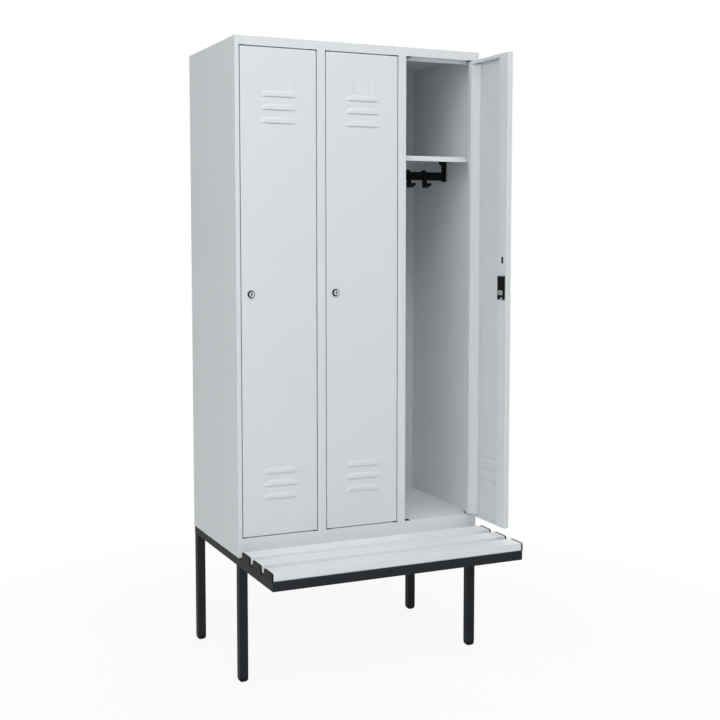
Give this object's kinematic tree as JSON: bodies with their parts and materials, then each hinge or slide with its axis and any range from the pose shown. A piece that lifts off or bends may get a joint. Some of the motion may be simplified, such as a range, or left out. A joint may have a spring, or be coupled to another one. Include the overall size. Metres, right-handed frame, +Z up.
{
  "type": "locker with bench",
  "caption": "Tall sheet steel locker with louvred doors on a dark tube frame, with a slatted bench in front of the doors.",
  "frame": {"origin": "on the floor at the middle of the whole width and depth", "axes": "+Z up, +X to the right seen from the front, the front faces -Y"},
  "size_m": [0.9, 0.815, 2.125],
  "materials": {
    "light_steel": "light grey powder coat",
    "dark_tube": "black grey powder coat",
    "slat_plastic": "satin light grey",
    "black_plastic": "satin black",
    "zinc_steel": "bright zinc",
    "lock_chrome": "polished"
  },
  "bodies": {
    "cabinet": {"frame_rail_left": "dark_tube", "frame_rail_right": "dark_tube", "frame_rail_front": "dark_tube", "frame_rail_back": "dark_tube", "frame_rail_cross": "dark_tube", "leg_front_left": "dark_tube", "leg_front_right": "dark_tube", "leg_back_left": "dark_tube", "leg_back_right": "dark_tube", "foot_glides": "black_plastic", "bench_slat_rear": "slat_plastic", "bench_slat_middle": "slat_plastic", "bench_slat_front": "slat_plastic", "slat_end_caps": "black_plastic", "frame_bolts": "zinc_steel", "side_panel_left": "light_steel", "side_panel_right": "light_steel", "partition_left": "light_steel", "partition_right": "light_steel", "back_panel": "light_steel", "top_panel": "light_steel", "floor_panel": "light_steel", "hinge_bushes": "black_plastic", "door_guides": "black_plastic", "shelf_1": "light_steel", "shelf_2": "light_steel", "shelf_3": "light_steel", "coat_rail_1": "black_plastic", "coat_rail_2": "black_plastic", "coat_rail_3": "black_plastic"},
    "door_1": {"door_1": "light_steel", "hinge_pins_1": "zinc_steel", "lock_barrel_1": "lock_chrome", "lock_case_1": "black_plastic", "lock_clip_1": "zinc_steel"},
    "lock_1": {"lock_core_1": "lock_chrome", "lock_cam_1": "zinc_steel"},
    "hook_1_left": {"hook_1_left": "black_plastic"},
    "hook_1_middle": {"hook_1_middle": "black_plastic"},
    "hook_1_right": {"hook_1_right": "black_plastic"},
    "door_2": {"door_2": "light_steel", "hinge_pins_2": "zinc_steel", "lock_barrel_2": "lock_chrome", "lock_case_2": "black_plastic", "lock_clip_2": "zinc_steel"},
    "lock_2": {"lock_core_2": "lock_chrome", "lock_cam_2": "zinc_steel"},
    "hook_2_left": {"hook_2_left": "black_plastic"},
    "hook_2_middle": {"hook_2_middle": "black_plastic"},
    "hook_2_right": {"hook_2_right": "black_plastic"},
    "door_3": {"door_3": "light_steel", "hinge_pins_3": "zinc_steel", "lock_barrel_3": "lock_chrome", "lock_case_3": "black_plastic", "lock_clip_3": "zinc_steel"},
    "lock_3": {"lock_core_3": "lock_chrome", "lock_cam_3": "zinc_steel"},
    "hook_3_left": {"hook_3_left": "black_plastic"},
    "hook_3_middle": {"hook_3_middle": "black_plastic"},
    "hook_3_right": {"hook_3_right": "black_plastic"}
  },
  "joints": [
    {"name": "door_1_swing", "type": "hinge", "parent": "cabinet", "child": "door_1", "pos_m": [-0.174, -0.087, 1.2915], "axis": [0, 0, 1], "range_deg": [0, 110]},
    {"name": "lock_1_turn", "type": "hinge", "parent": "door_1", "child": "lock_1", "pos_m": [-0.4, -0.087, 1.2945], "axis": [0, -1, 0], "range_deg": [0, 90]},
    {"name": "hook_1_left_slide", "type": "slide", "parent": "cabinet", "child": "hook_1_left", "axis": [1, 0, 0], "range_m": [-0.044, 0.022]},
    {"name": "hook_1_middle_slide", "type": "slide", "parent": "cabinet", "child": "hook_1_middle", "axis": [1, 0, 0], "range_m": [-0.022, 0.022]},
    {"name": "hook_1_right_slide", "type": "slide", "parent": "cabinet", "child": "hook_1_right", "axis": [1, 0, 0], "range_m": [-0.022, 0.066]},
    {"name": "door_2_swing", "type": "hinge", "parent": "cabinet", "child": "door_2", "pos_m": [0.126, -0.087, 1.2915], "axis": [0, 0, 1], "range_deg": [0, 110]},
    {"name": "lock_2_turn", "type": "hinge", "parent": "door_2", "child": "lock_2", "pos_m": [-0.1, -0.087, 1.2945], "axis": [0, -1, 0], "range_deg": [0, 90]},
    {"name": "hook_2_left_slide", "type": "slide", "parent": "cabinet", "child": "hook_2_left", "axis": [1, 0, 0], "range_m": [-0.044, 0.022]},
    {"name": "hook_2_middle_slide", "type": "slide", "parent": "cabinet", "child": "hook_2_middle", "axis": [1, 0, 0], "range_m": [-0.022, 0.022]},
    {"name": "hook_2_right_slide", "type": "slide", "parent": "cabinet", "child": "hook_2_right", "axis": [1, 0, 0], "range_m": [-0.022, 0.066]},
    {"name": "door_3_swing", "type": "hinge", "parent": "cabinet", "child": "door_3", "pos_m": [0.426, -0.087, 1.2915], "axis": [0, 0, 1], "range_deg": [-90, 20]},
    {"name": "lock_3_turn", "type": "hinge", "parent": "door_3", "child": "lock_3", "pos_m": [0.426, -0.313, 1.2945], "axis": [1, 0, 0], "range_deg": [0, 90]},
    {"name": "hook_3_left_slide", "type": "slide", "parent": "cabinet", "child": "hook_3_left", "axis": [1, 0, 0], "range_m": [-0.044, 0.022]},
    {"name": "hook_3_middle_slide", "type": "slide", "parent": "cabinet", "child": "hook_3_middle", "axis": [1, 0, 0], "range_m": [-0.022, 0.022]},
    {"name": "hook_3_right_slide", "type": "slide", "parent": "cabinet", "child": "hook_3_right", "axis": [1, 0, 0], "range_m": [-0.022, 0.066]}
  ]
}
